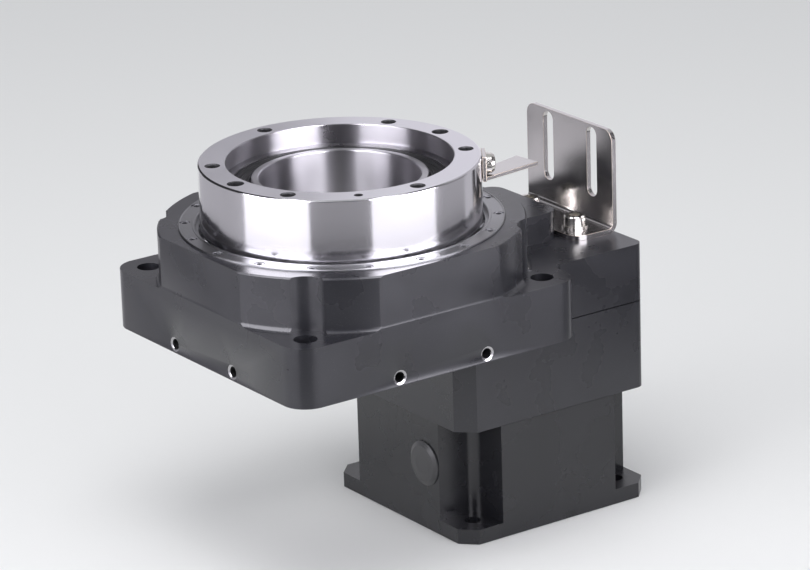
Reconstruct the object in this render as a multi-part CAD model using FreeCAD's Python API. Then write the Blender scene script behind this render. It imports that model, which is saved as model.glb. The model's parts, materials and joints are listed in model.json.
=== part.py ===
import FreeCAD, Part
import math
import os

V = FreeCAD.Vector

# Hollow rotary platform, 130 mm frame size, lengths in millimetres.
# The Z axis is the turning axis of the table. The mounting face of the square flange is z = 0.
# The input side, with the pinion and the motor adapter, lies towards +X.

# Housing: square flange, round upper body, extension over the pinion
frame_size = 130.0
flange_height = 23.4
corner_radius = 10.0
housing_wall = 8.0
body_height = 44.7
body_foot_fillet = 2.0
edge_break = 0.6
floor_thickness = 6.0
floor_opening_play = 3.0
extension_width = 93.0
extension_corner_radius = 4.0
inside_corner_radius = 4.0
block_seat_depth = 0.3
block_seat_play = 0.25

# Holes that fasten the platform to a machine
mounting_hole_inset = 10.8
mounting_hole_radius = 4.5
screw_head_relief_radius = 9.0
side_hole_radius = 2.1
side_hole_mouth_radius = 2.9
side_hole_mouth_depth = 0.46
side_hole_spacing = 40.0
side_hole_height = 3.4
side_hole_depth = 12.0

# Raised boss over the upper pinion bearing
boss_height = 11.6
boss_end_wall = 4.5
boss_side_wall = 5.3
boss_corner_radius = 6.0
boss_root_x = 39.5

# Turning table
table_rim_gap = 2.0
table_top = 69.4
table_edge_chamfer = 0.6
table_rim_width = 10.5
pilot_depth = 8.0
pilot_land_length = 6.1
pilot_relief = 1.2
table_neck_wall = 11.2
table_thread_inset = 5.5
table_thread_radius = 2.5
table_thread_mouth_radius = 3.0
table_thread_mouth_depth = 0.5
table_thread_depth = 14.0
table_thread_count = 6
dowel_hole_radius = 3.0
dowel_hole_depth = 12.0
dowel_hole_mouth = 0.3
index_hole_radius = 1.65
index_hole_depth = 8.0
index_hole_turn = 241.5
rest_turn = 2.4
table_foot_clearance = 0.4
table_foot_step_width = 1.5

# Fixed sleeve that lines the hollow shaft
sleeve_room = 3.8
sleeve_wall = 2.9
sleeve_top = 62.7
sleeve_flange_width = 11.6
sleeve_flange_thickness = 3.0
sleeve_flange_sink = 0.3
sleeve_screw_inset = 4.0
sleeve_screw_count = 6
sleeve_screw_head_radius = 2.9
sleeve_screw_head_height = 1.45
sleeve_screw_sink_play = 0.2
seal_ledge_width = 2.0
seal_height = 6.4
seal_sink = 0.5

# Crossed roller bearing of the table
bearing_outer_radius = 62.5
bearing_section = 16.5
bearing_lip_width = 6.5
bearing_bottom = 33.4
bearing_height = 12.0
bearing_lip_depth = 2.2
roller_circle_inset = 8.5
roller_diameter = 6.0
roller_count = 54
roller_play = 0.2
race_gap = 1.5
inner_ring_inset = 0.6
inner_ring_top_inset = 2.0
bearing_screw_inset = 2.6
bearing_screw_count = 18
bearing_screw_radius = 1.25
bearing_screw_first_angle = -35.0
bearing_screw_thread_length = 5.0
bearing_screw_head_radius = 2.0
bearing_screw_head_height = 2.0
bearing_screw_head_sink = 0.4

# Gear pair
gear_module = 1.25
table_gear_teeth = 90
pinion_teeth = 18
pressure_angle = 20.0
backlash = 0.12
gear_face_width = 12.0
gear_floor_gap = 2.0
gear_tip_gap = 0.8
gear_hub_ledge = 3.5
gear_screw_inset = 5.6
gear_screw_count = 8
gear_pilot_depth = 3.5
gear_thread_depth = 11.0

# Pinion shaft and its ball bearings
shaft_radius = 7.5
ball_bearing_outer_radius = 16.0
ball_bearing_width = 9.0
ball_radius = 2.35
ball_count = 8
ball_ring_wall = 2.4
ball_play = 0.1
upper_bearing_cover_wall = 2.6
shaft_shoulder_radius = 9.4
bearing_shoulder_width = 2.4
seal_width = 4.0
seal_lip_reach = 3.5
seal_lip_thickness = 0.5
lower_bearing_gap = 11.0
circlip_thickness = 1.2
circlip_groove_depth = 0.9
circlip_width = 2.6
circlip_gap = 8.0
spigot_wall = 2.0
spigot_height = 5.0

# Gearbox block under the extension
block_depth = 35.7
block_side_x = 21.3
block_edge_chamfer = 6.5
far_screw_end_inset = 9.5
far_screw_side_inset = 10.5
near_screw_inset = 30.7
near_screw_side_inset = 5.5
gearbox_thread_depth = 14.0
dowel_offset = 11.5
dowel_side_inset = 6.0
dowel_depth = 8.0

# Motor adapter and clamp coupling
adapter_size = 90.0
adapter_height = 46.0
adapter_joint_gap = 0.8
adapter_flange_thickness = 6.0
adapter_notch = 17.5
adapter_notch_radius = 4.5
adapter_flange_chamfer = 6.0
adapter_screw_spacing = 46.4
adapter_land_width = 8.0
adapter_thread_depth = 12.0
coupling_room_radius = 28.0
motor_pilot_radius = 36.5
motor_pilot_depth = 3.0
motor_hole_spacing = 69.6
motor_hole_radius = 3.3
motor_shaft_radius = 7.0
clamp_end_radius = 13.0
clamp_end_gap = 3.0
clamp_end_height = 14.5
clamp_bore_depth = 26.0
clamp_slit_width = 1.6
collar_radius = 25.0
collar_height = 18.0
clamp_depth = 19.5
clamp_screw_offset = 18.2
clamp_screw_seat = 7.0
clamp_screw_length = 18.0

# Access plug over the clamp screw
plug_head_radius = 9.0
plug_head_thickness = 1.6
plug_stem_radius = 7.7
plug_stem_length = 7.0
plug_hole_radius = 8.0

# Sensor bracket and sensor flag
sheet_thickness = 2.0
bracket_centre_y = -2.1
bracket_width = 55.0
bracket_top = 64.9
bracket_corner_radius = 4.5
bracket_bend_radius = 2.0
bracket_foot_length = 20.5
bracket_foot_gap = 1.0
bracket_foot_radius = 6.0
bracket_slot_width = 6.3
bracket_slot_length = 28.3
bracket_slot_spacing = 28.0
bracket_slot_shift = -0.5
bracket_slot_bottom = 35.5
bracket_screw_spacing = 30.0
bracket_screw_shift = -1.1
bracket_screw_head_height = 4.0
bracket_screw_inset = 12.0
bracket_thread_depth = 12.0
bracket_washer_radius = 5.15
flag_thickness = 1.5
flag_width = 12.0
flag_length = 29.0
flag_level = 60.6
flag_leg_height = 8.4
flag_turn = -33.2
flag_direction = 7.0
flag_screw_level = 64.9
flag_thread_depth = 3.2
flag_washer_radius = 4.1
flag_screw_head_radius = 3.9
flag_screw_head_height = 2.6

# Screw sizes: shank radius, head radius, head height
screw_m3 = (1.5, 2.75, 3.0)
screw_m4 = (2.0, 3.5, 4.0)
screw_m5 = (2.5, 4.25, 5.0)
fit_play = 0.05
hole_play = 0.25
washer_thickness = 1.0
head_sink = 0.7
thread_end_gap = 1.0
pin_end_gap = 0.5

# Values worked out from the sizes above
half_frame = frame_size / 2
half_extension = extension_width / 2
mounting_spacing = frame_size - 2 * mounting_hole_inset
body_radius = bearing_outer_radius + housing_wall
bearing_lip_radius = bearing_outer_radius - bearing_lip_width
bearing_screw_circle_radius = bearing_outer_radius - bearing_screw_inset
roller_circle_radius = bearing_outer_radius - roller_circle_inset
table_neck_radius = bearing_outer_radius - bearing_section
table_bore_radius = table_neck_radius - table_neck_wall
table_radius = bearing_lip_radius - table_rim_gap
table_thread_circle_radius = table_radius - table_thread_inset
pilot_radius = table_radius - table_rim_width
seal_seat_radius = pilot_radius - seal_ledge_width
sleeve_bore_radius = table_bore_radius - sleeve_room
sleeve_outer_radius = sleeve_bore_radius + sleeve_wall
sleeve_flange_radius = sleeve_outer_radius + sleeve_flange_width
sleeve_screw_circle_radius = sleeve_flange_radius - sleeve_screw_inset
gear_hub_radius = table_neck_radius + gear_hub_ledge
gear_screw_circle_radius = table_neck_radius - gear_screw_inset
centre_distance = gear_module * (table_gear_teeth + pinion_teeth) / 2
table_gear_tip = gear_module * (table_gear_teeth / 2 + 1)
chamber_radius = table_gear_tip + gear_tip_gap
bearing_shoulder_radius = ball_bearing_outer_radius - bearing_shoulder_width
spigot_radius = ball_bearing_outer_radius + spigot_wall
boss_reach = centre_distance + ball_bearing_outer_radius + boss_end_wall
boss_width = 2 * (ball_bearing_outer_radius + boss_side_wall)
extension_reach = boss_reach + bracket_foot_gap + bracket_foot_length
bearing_top = bearing_bottom + bearing_height
roller_level = bearing_bottom + bearing_height / 2
inner_ring_bottom = bearing_bottom + inner_ring_inset
inner_ring_top = bearing_top - inner_ring_top_inset
gear_bottom = floor_thickness + gear_floor_gap
gear_top = gear_bottom + gear_face_width
neck_bottom = inner_ring_bottom - gear_pilot_depth
pilot_floor = table_top - pilot_depth
seal_top = pilot_floor - seal_sink
seal_bottom = seal_top - seal_height
boss_top = flange_height + boss_height
upper_bearing_top = boss_top - upper_bearing_cover_wall
upper_bearing_bottom = upper_bearing_top - ball_bearing_width
seal_seat_bottom = spigot_height - seal_width - 0.5
middle_bearing_bottom = seal_seat_bottom - ball_bearing_width
lower_bearing_top = middle_bearing_bottom - lower_bearing_gap
lower_bearing_bottom = lower_bearing_top - ball_bearing_width
adapter_top = -block_depth
adapter_bottom = adapter_top - adapter_height - adapter_joint_gap
adapter_side_x = centre_distance - adapter_size / 2
clamp_level = adapter_top - clamp_depth
clamp_end_bottom = adapter_bottom + clamp_end_height
collar_bottom = clamp_level - collar_height / 2
bracket_outer_x = extension_reach
bracket_inner_x = extension_reach - sheet_thickness
input_axis = (centre_distance, 0.0)


def cylinder(radius, low, high, centre=(0.0, 0.0)):
    return Part.makeCylinder(radius, high - low, V(centre[0], centre[1], low))


def tube(inner, outer, low, high, centre=(0.0, 0.0)):
    return cylinder(outer, low, high, centre).cut(cylinder(inner, low, high, centre))


def cone(low_radius, high_radius, low, high, centre=(0.0, 0.0)):
    return Part.makeCone(low_radius, high_radius, high - low, V(centre[0], centre[1], low))


def block(x_low, x_high, y_low, y_high, z_low, z_high):
    corner = V(x_low, y_low, z_low)
    return Part.makeBox(x_high - x_low, y_high - y_low, z_high - z_low, corner)


def ring_places(count, radius, first_angle=0.0, centre=(0.0, 0.0)):
    places = []
    for index in range(count):
        angle = math.radians(first_angle + 360.0 * index / count)
        places.append((centre[0] + radius * math.cos(angle), centre[1] + radius * math.sin(angle)))
    return places


def square_places(spacing, centre=(0.0, 0.0)):
    half = spacing / 2
    return [(centre[0] + sx * half, centre[1] + sy * half) for sx in (-1, 1) for sy in (-1, 1)]


def turned(profile, centre=(0.0, 0.0)):
    """Solid of revolution about a vertical axis from (radius, height) corners."""
    points = [V(radius, 0, height) for radius, height in profile]
    face = Part.Face(Part.makePolygon(points + points[:1]))
    solid = face.revolve(V(0, 0, 0), V(0, 0, 1), 360)
    solid.translate(V(centre[0], centre[1], 0))
    return solid


def bearing_screw_places():
    """Screws of the split ring; none where the upper pinion bearing lies right below."""
    places = ring_places(bearing_screw_count, bearing_screw_circle_radius, bearing_screw_first_angle)
    room = ball_bearing_outer_radius + bearing_screw_head_radius
    return [(x, y) for x, y in places if math.hypot(x - centre_distance, y) > room]


def rounded_outline(corners, height):
    """Closed wire through (x, y, radius) corners, each rounded by its own radius."""
    count = len(corners)
    edges = []
    starts = []
    for index in range(count):
        here = V(corners[index][0], corners[index][1], height)
        back = V(corners[index - 1][0], corners[index - 1][1], height) - here
        ahead = V(corners[(index + 1) % count][0], corners[(index + 1) % count][1], height) - here
        radius = corners[index][2]
        if radius == 0:
            starts.append((here, here, None))
            continue
        back.normalize()
        ahead.normalize()
        half_angle = back.getAngle(ahead) / 2
        reach = radius / math.tan(half_angle)
        bisector = back + ahead
        bisector.normalize()
        middle = here + bisector * (radius / math.sin(half_angle) - radius)
        starts.append((here + back * reach, here + ahead * reach, middle))
    for index in range(count):
        first, last, middle = starts[index]
        if middle is not None:
            edges.append(Part.Arc(first, middle, last).toShape())
        following = starts[(index + 1) % count][0]
        if (following - last).Length > 1e-6:
            edges.append(Part.LineSegment(last, following).toShape())
    return Part.Wire(edges)


def prism(corners, low, high):
    return Part.Face(rounded_outline(corners, low)).extrude(V(0, 0, high - low))


def hexagon(across_radius, low, high):
    points = [V(x, y, low) for x, y in ring_places(6, across_radius)]
    return Part.Face(Part.makePolygon(points + points[:1])).extrude(V(0, 0, high - low))


def placed(shape, position, direction=(0, 0, 1)):
    """Copy of a shape drawn along +Z, moved to a place and pointed along a direction."""
    copy = shape.copy()
    turn = FreeCAD.Rotation(V(0, 0, 1), V(*direction))
    copy.Placement = FreeCAD.Placement(V(*position), turn)
    return copy


def cap_screw(size, length):
    """Socket head screw with its seat at z = 0 and its shank towards -Z."""
    shank_radius, head_radius, head_height = size
    rim = head_height * 0.1
    head = turned([(0, 0), (head_radius, 0), (head_radius, head_height - rim),
                   (head_radius - rim, head_height), (0, head_height)])
    shank = turned([(0, -length), (shank_radius * 0.75, -length),
                    (shank_radius, -length + shank_radius * 0.25), (shank_radius, 0), (0, 0)])
    socket = hexagon(shank_radius * 0.98, head_height * 0.45, head_height)
    return head.fuse(shank).removeSplitter().cut(socket)


def involute_half_angle(teeth, radius):
    pitch = gear_module * teeth / 2
    pressure = math.radians(pressure_angle)
    base = pitch * math.cos(pressure)
    local = math.acos(min(1.0, base / radius))
    at_pitch = math.pi / (2 * teeth) - backlash / (4 * pitch)
    return at_pitch + (math.tan(pressure) - pressure) - (math.tan(local) - local)


def gear_body(teeth, flank_steps, first_angle, low, high, centre=(0.0, 0.0)):
    """Spur gear blank with involute flanks; a tooth points along the first angle."""
    pitch = gear_module * teeth / 2
    base = pitch * math.cos(math.radians(pressure_angle))
    root = pitch - 1.25 * gear_module
    tip = pitch + gear_module
    start = max(base, root)
    radii = [start + (tip - start) * step / flank_steps for step in range(flank_steps + 1)]
    if root < base:
        radii.insert(0, root)
    points = []
    for tooth in range(teeth):
        middle = math.radians(first_angle) + 2 * math.pi * tooth / teeth
        rising = [(r, middle - involute_half_angle(teeth, max(r, start))) for r in radii]
        falling = [(r, middle + involute_half_angle(teeth, max(r, start))) for r in reversed(radii)]
        for radius, angle in rising + falling:
            x = centre[0] + radius * math.cos(angle)
            y = centre[1] + radius * math.sin(angle)
            points.append(V(x, y, low))
    return Part.Face(Part.makePolygon(points + points[:1])).extrude(V(0, 0, high - low))


def tapped_hole(radius, mouth_radius, mouth_depth, depth):
    """Cutting tool for a threaded hole that opens at z = 0 and runs towards -Z."""
    return turned([(0, -depth), (radius, -depth), (radius, -mouth_depth), (mouth_radius, 0),
                   (mouth_radius, 0.5), (0, 0.5)])


def cut_all(shape, tools):
    if len(tools) == 1:
        return shape.cut(tools[0])
    return shape.cut(Part.makeCompound(tools))


def upper_body():
    foot_radius = body_radius + body_foot_fillet
    shoulder = body_radius - edge_break
    ring = turned([(0, 0), (body_radius, 0), (body_radius, body_height - edge_break),
                   (shoulder, body_height), (0, body_height)])
    inner = V(body_radius, 0, flange_height)
    outer = V(foot_radius, 0, flange_height)
    high = V(body_radius, 0, flange_height + body_foot_fillet)
    centre = V(foot_radius, 0, flange_height + body_foot_fillet)
    diagonal = body_foot_fillet * math.sqrt(0.5)
    middle = centre + V(-diagonal, 0, -diagonal)
    curve = Part.Arc(high, middle, outer).toShape()
    sides = [Part.LineSegment(outer, inner).toShape(), Part.LineSegment(inner, high).toShape()]
    foot = Part.Face(Part.Wire([curve] + sides)).revolve(V(0, 0, 0), V(0, 0, 1), 360)
    square = block(-half_frame, half_frame, -half_frame, half_frame, 0, body_height)
    return ring.fuse(foot).common(square)


def pinion_boss():
    half = boss_width / 2
    corners = [
        (boss_root_x, -half, 0),
        (boss_reach, -half, boss_corner_radius),
        (boss_reach, half, boss_corner_radius),
        (boss_root_x, half, 0),
    ]
    return prism(corners, flange_height, boss_top)


def block_seat():
    """Shallow seat milled into the mounting face, so that the face itself ends beside the block."""
    side = half_extension + block_seat_play
    left = block_side_x - block_seat_play
    return block(left, extension_reach, -side, side, 0, block_seat_depth)


def main_housing():
    corners = [
        (-half_frame, -half_frame, corner_radius),
        (half_frame, -half_frame, corner_radius),
        (half_frame, -half_extension, inside_corner_radius),
        (extension_reach, -half_extension, extension_corner_radius),
        (extension_reach, half_extension, extension_corner_radius),
        (half_frame, half_extension, inside_corner_radius),
        (half_frame, half_frame, corner_radius),
        (-half_frame, half_frame, corner_radius),
    ]
    body = prism(corners, 0, flange_height).fuse([upper_body(), pinion_boss()]).removeSplitter()
    tools = [
        cylinder(bearing_outer_radius + fit_play, bearing_bottom, body_height),
        cylinder(chamber_radius, floor_thickness, bearing_bottom),
        cylinder(sleeve_outer_radius + floor_opening_play, 0, floor_thickness),
        cylinder(sleeve_flange_radius + hole_play, 0, sleeve_flange_thickness + sleeve_flange_sink),
        cylinder(ball_bearing_outer_radius, 0, upper_bearing_top, input_axis),
        cylinder(spigot_radius + fit_play, 0, spigot_height, input_axis),
        block_seat(),
    ]
    for x, y in square_places(mounting_spacing):
        tools.append(cylinder(mounting_hole_radius, 0, flange_height, (x, y)))
        tools.append(cylinder(screw_head_relief_radius, flange_height, body_height, (x, y)))
    side_hole = tapped_hole(side_hole_radius, side_hole_mouth_radius, side_hole_mouth_depth,
                            side_hole_depth)
    for offset in (-side_hole_spacing / 2, side_hole_spacing / 2):
        for side in (-1, 1):
            tools.append(placed(side_hole, (offset, side * half_frame, side_hole_height), (0, side, 0)))
        tools.append(placed(side_hole, (-half_frame, offset, side_hole_height), (-1, 0, 0)))
    for x, y in bearing_screw_places():
        low = bearing_bottom - bearing_screw_thread_length
        tools.append(cylinder(bearing_screw_radius, low, bearing_bottom, (x, y)))
    for x, y in sleeve_screw_places():
        tools.append(cylinder(screw_m3[0], 0, floor_thickness, (x, y)))
    for x, y in gearbox_screw_places():
        tools.append(cylinder(screw_m5[0], 0, gearbox_thread_depth, (x, y)))
    for x, y in gearbox_dowel_places():
        tools.append(cylinder(screw_m5[0], 0, dowel_depth, (x, y)))
    for x, y in bracket_screw_places():
        low = flange_height - bracket_thread_depth
        tools.append(cylinder(screw_m5[0], low, flange_height, (x, y)))
    return cut_all(body, tools)


def table_thread_places():
    step = 360.0 / table_thread_count
    return ring_places(table_thread_count, table_thread_circle_radius, rest_turn + step / 2)


def output_table():
    face_low = inner_ring_top + table_foot_clearance
    seat_radius = table_radius - table_foot_step_width
    land_bottom = table_top - table_edge_chamfer / 2 - pilot_land_length
    profile = [
        (table_bore_radius, neck_bottom),
        (table_neck_radius, neck_bottom),
        (table_neck_radius, inner_ring_top),
        (seat_radius, inner_ring_top),
        (seat_radius, face_low),
        (table_radius, face_low),
        (table_radius, table_top - table_edge_chamfer),
        (table_radius - table_edge_chamfer, table_top),
        (pilot_radius + table_edge_chamfer / 2, table_top),
        (pilot_radius, table_top - table_edge_chamfer / 2),
        (pilot_radius, land_bottom),
        (pilot_radius + pilot_relief, land_bottom),
        (pilot_radius + pilot_relief, pilot_floor),
        (seal_seat_radius, pilot_floor),
        (seal_seat_radius, seal_bottom),
        (table_bore_radius, seal_bottom),
    ]
    body = turned(profile)
    tools = []
    dowel = tapped_hole(dowel_hole_radius, dowel_hole_radius + dowel_hole_mouth, dowel_hole_mouth,
                        dowel_hole_depth)
    thread = tapped_hole(table_thread_radius, table_thread_mouth_radius, table_thread_mouth_depth,
                         table_thread_depth)
    for x, y in table_thread_places():
        tools.append(placed(thread, (x, y, table_top)))
    for x, y in ring_places(2, table_thread_circle_radius, rest_turn):
        tools.append(placed(dowel, (x, y, table_top)))
    index_angle = rest_turn + index_hole_turn
    for x, y in ring_places(1, table_thread_circle_radius, index_angle):
        tools.append(cylinder(index_hole_radius, table_top - index_hole_depth, table_top, (x, y)))
    for x, y in gear_screw_places():
        tools.append(cylinder(screw_m5[0], neck_bottom, neck_bottom + gear_thread_depth, (x, y)))
    outward = flag_outward()
    reach = table_radius - flag_thread_depth
    start = (outward[0] * reach, outward[1] * reach, flag_screw_level)
    tools.append(placed(Part.makeCylinder(screw_m4[0], flag_thread_depth + 1), start, outward))
    return cut_all(body, tools)


def sleeve_screw_places():
    return ring_places(sleeve_screw_count, sleeve_screw_circle_radius, 30.0)


def inner_sleeve():
    flange_top = sleeve_flange_sink + sleeve_flange_thickness
    lead = 0.5
    body = turned([
        (sleeve_bore_radius, sleeve_flange_sink),
        (sleeve_flange_radius, sleeve_flange_sink),
        (sleeve_flange_radius, flange_top),
        (sleeve_outer_radius, flange_top),
        (sleeve_outer_radius, sleeve_top - lead),
        (sleeve_outer_radius - lead, sleeve_top),
        (sleeve_bore_radius + lead, sleeve_top),
        (sleeve_bore_radius, sleeve_top - lead),
    ])
    tools = []
    for x, y in sleeve_screw_places():
        tools.append(cylinder(screw_m3[0] + hole_play, sleeve_flange_sink, flange_top, (x, y)))
        mouth = sleeve_screw_head_radius + sleeve_screw_sink_play
        high = sleeve_flange_sink + sleeve_screw_head_height + sleeve_screw_sink_play
        tools.append(cone(mouth, screw_m3[0] + hole_play, sleeve_flange_sink, high, (x, y)))
    return cut_all(body, tools)


def sleeve_screws():
    shank, head_radius = screw_m3[0], sleeve_screw_head_radius
    head_low = sleeve_flange_sink + 0.1
    head_high = head_low + sleeve_screw_head_height
    end = floor_thickness - 0.3
    screws = []
    for x, y in sleeve_screw_places():
        screw = turned([(0, head_low), (head_radius, head_low), (shank, head_high),
                        (shank, end), (0, end)])
        screw = screw.cut(hexagon(1.1, head_low, head_low + 1.0))
        screw.translate(V(x, y, 0))
        screws.append(screw)
    return Part.makeCompound(screws)


def sleeve_seal():
    """Lip seal pressed into the table, running on the fixed sleeve."""
    lip = sleeve_outer_radius + fit_play
    middle = (lip + seal_seat_radius) / 2
    return turned([
        (lip, seal_bottom + 2.0),
        (middle, seal_bottom),
        (seal_seat_radius, seal_bottom),
        (seal_seat_radius, seal_top),
        (middle + 2.2, seal_top),
        (middle + 1.6, seal_top - 1.0),
        (middle - 0.6, seal_top - 1.0),
        (middle - 1.2, seal_top - 0.2),
        (lip + 0.9, seal_top - 0.2),
        (lip, seal_top - 1.4),
    ])


def race_profile_half():
    return roller_diameter * math.sqrt(0.5)


def bearing_outer_ring(upper):
    """One half of the split outer ring; the halves meet at the middle of the rollers."""
    face_radius = roller_circle_radius + race_gap / 2
    apex = roller_circle_radius + race_profile_half()
    mouth = race_profile_half() - race_gap / 2
    if upper:
        lip_floor = bearing_top - bearing_lip_depth
        ring = turned([
            (apex, roller_level), (bearing_outer_radius, roller_level),
            (bearing_outer_radius, bearing_top - 0.8), (bearing_outer_radius - 0.8, bearing_top),
            (bearing_lip_radius, bearing_top), (bearing_lip_radius, lip_floor),
            (face_radius, lip_floor), (face_radius, roller_level + mouth),
        ])
    else:
        ring = turned([
            (apex, roller_level), (bearing_outer_radius, roller_level),
            (bearing_outer_radius, bearing_bottom), (face_radius, bearing_bottom),
            (face_radius, roller_level - mouth),
        ])
    tools = []
    for x, y in bearing_screw_places():
        tools.append(cylinder(bearing_screw_radius, bearing_bottom, bearing_top, (x, y)))
        seat = bearing_top - bearing_screw_head_sink - bearing_screw_head_height
        tools.append(cylinder(bearing_screw_head_radius + fit_play, seat, bearing_top, (x, y)))
    return cut_all(ring, tools)


def bearing_screws():
    size = (bearing_screw_radius, bearing_screw_head_radius, bearing_screw_head_height)
    seat = bearing_top - bearing_screw_head_sink - bearing_screw_head_height
    length = seat - bearing_bottom + bearing_screw_thread_length - thread_end_gap
    screw = cap_screw(size, length)
    return Part.makeCompound([placed(screw, (x, y, seat)) for x, y in bearing_screw_places()])


def bearing_inner_ring():
    face_radius = roller_circle_radius - race_gap / 2
    apex = roller_circle_radius - race_profile_half()
    mouth = race_profile_half() - race_gap / 2
    return turned([
        (table_neck_radius, inner_ring_bottom), (face_radius, inner_ring_bottom),
        (face_radius, roller_level - mouth), (apex, roller_level),
        (face_radius, roller_level + mouth), (face_radius, inner_ring_top),
        (table_neck_radius, inner_ring_top),
    ])


def bearing_rollers():
    """Rollers lie crosswise, each tilted 45 degrees the other way from its neighbour."""
    size = roller_diameter - 2 * roller_play
    rollers = []
    for index in range(roller_count):
        angle = 360.0 * index / roller_count
        tilt = 45.0 if index % 2 else -45.0
        roller = Part.makeCylinder(size / 2, size, V(0, 0, -size / 2))
        roller.rotate(V(0, 0, 0), V(0, 1, 0), tilt)
        roller.translate(V(roller_circle_radius, 0, roller_level))
        roller.rotate(V(0, 0, 0), V(0, 0, 1), angle)
        rollers.append(roller)
    return Part.makeCompound(rollers)


def gear_screw_places():
    return ring_places(gear_screw_count, gear_screw_circle_radius, 22.5)


def table_gear():
    teeth = gear_body(table_gear_teeth, 2, 0.0, gear_bottom, gear_top)
    hub = cylinder(gear_hub_radius, gear_top, inner_ring_bottom)
    tools = [
        cylinder(table_bore_radius, gear_bottom, inner_ring_bottom),
        cylinder(table_neck_radius, neck_bottom, inner_ring_bottom),
    ]
    for x, y in gear_screw_places():
        tools.append(cylinder(screw_m5[0] + hole_play, gear_bottom, neck_bottom, (x, y)))
        tools.append(cylinder(screw_m5[1] + hole_play, gear_bottom, gear_screw_seat(), (x, y)))
    return cut_all(teeth.fuse(hub).removeSplitter(), tools)


def gear_screw_seat():
    return gear_bottom + screw_m5[2] + head_sink


def table_gear_screws():
    seat = gear_screw_seat()
    screw = cap_screw(screw_m5, neck_bottom - seat + gear_thread_depth - thread_end_gap)
    places = gear_screw_places()
    return Part.makeCompound([placed(screw, (x, y, seat), (0, 0, -1)) for x, y in places])


def gearbox_screw_places():
    far = (extension_reach - far_screw_end_inset, half_extension - far_screw_side_inset)
    near = (block_side_x + near_screw_inset, half_extension - near_screw_side_inset)
    places = []
    for x, y in (far, near):
        places.extend([(x, -y), (x, y)])
    return places


def gearbox_dowel_places():
    x = centre_distance + dowel_offset
    y = half_extension - dowel_side_inset
    return [(x, -y), (x, y)]


def adapter_screw_places():
    return square_places(adapter_screw_spacing, input_axis)


def gearbox_block():
    half = half_extension
    cut_corner = block_edge_chamfer
    corners = [
        (block_side_x, -half + cut_corner, 0),
        (block_side_x + cut_corner, -half, 0),
        (extension_reach, -half, extension_corner_radius),
        (extension_reach, half, extension_corner_radius),
        (block_side_x + cut_corner, half, 0),
        (block_side_x, half - cut_corner, 0),
    ]
    body = prism(corners, -block_depth, block_seat_depth)
    body = body.fuse(cylinder(spigot_radius, 0, spigot_height, input_axis)).removeSplitter()
    tools = [
        cylinder(bearing_shoulder_radius, -block_depth, spigot_height, input_axis),
        cylinder(ball_bearing_outer_radius, middle_bearing_bottom, spigot_height, input_axis),
        cylinder(ball_bearing_outer_radius, -block_depth, lower_bearing_top, input_axis),
        circlip_groove(),
    ]
    seat = screw_m5[2] + head_sink - block_depth
    for x, y in gearbox_screw_places():
        tools.append(cylinder(screw_m5[0] + hole_play, -block_depth, block_seat_depth, (x, y)))
        tools.append(cylinder(screw_m5[1] + hole_play, -block_depth, seat, (x, y)))
    for x, y in gearbox_dowel_places():
        tools.append(cylinder(screw_m5[0], -dowel_depth, block_seat_depth, (x, y)))
    for x, y in adapter_screw_places():
        tools.append(cylinder(screw_m4[0], -block_depth, adapter_thread_depth - block_depth, (x, y)))
    return cut_all(body, tools)


def circlip_groove():
    high = lower_bearing_bottom
    outer = ball_bearing_outer_radius + circlip_groove_depth
    return cylinder(outer, high - circlip_thickness, high, input_axis)


def bearing_circlip():
    high = lower_bearing_bottom
    outer = ball_bearing_outer_radius + circlip_groove_depth
    ring = tube(outer - circlip_width, outer, high - circlip_thickness, high, input_axis)
    half = circlip_gap / 2
    low = high - circlip_thickness
    gap = block(centre_distance, centre_distance + outer, -half, half, low, high)
    return ring.cut(gap)


def gearbox_screws():
    seat = screw_m5[2] + head_sink - block_depth
    screw = cap_screw(screw_m5, -seat + gearbox_thread_depth - thread_end_gap)
    places = gearbox_screw_places()
    return Part.makeCompound([placed(screw, (x, y, seat), (0, 0, -1)) for x, y in places])


def gearbox_dowels():
    end = dowel_depth - pin_end_gap
    pins = [cylinder(screw_m5[0], -end, end, place) for place in gearbox_dowel_places()]
    return Part.makeCompound(pins)


def ball_bearing_levels():
    return [upper_bearing_bottom, middle_bearing_bottom, lower_bearing_bottom]


def ball_circle_radius():
    return (shaft_radius + ball_bearing_outer_radius) / 2


def ball_track(level):
    torus = Part.makeTorus(ball_circle_radius(), ball_radius + ball_play)
    torus.translate(V(centre_distance, 0, level + ball_bearing_width / 2))
    return torus


def pinion_bearing_outer_rings():
    rings = []
    for level in ball_bearing_levels():
        outer = ball_bearing_outer_radius
        ring = tube(outer - ball_ring_wall, outer, level, level + ball_bearing_width, input_axis)
        rings.append(ring.cut(ball_track(level)))
    return Part.makeCompound(rings)


def pinion_bearing_inner_rings():
    rings = []
    for level in ball_bearing_levels():
        outer = shaft_radius + ball_ring_wall
        ring = tube(shaft_radius, outer, level, level + ball_bearing_width, input_axis)
        rings.append(ring.cut(ball_track(level)))
    return Part.makeCompound(rings)


def pinion_bearing_balls():
    balls = []
    for level in ball_bearing_levels():
        middle = level + ball_bearing_width / 2
        for x, y in ring_places(ball_count, ball_circle_radius(), 0.0, input_axis):
            balls.append(Part.makeSphere(ball_radius, V(x, y, middle)))
    return Part.makeCompound(balls)


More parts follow.
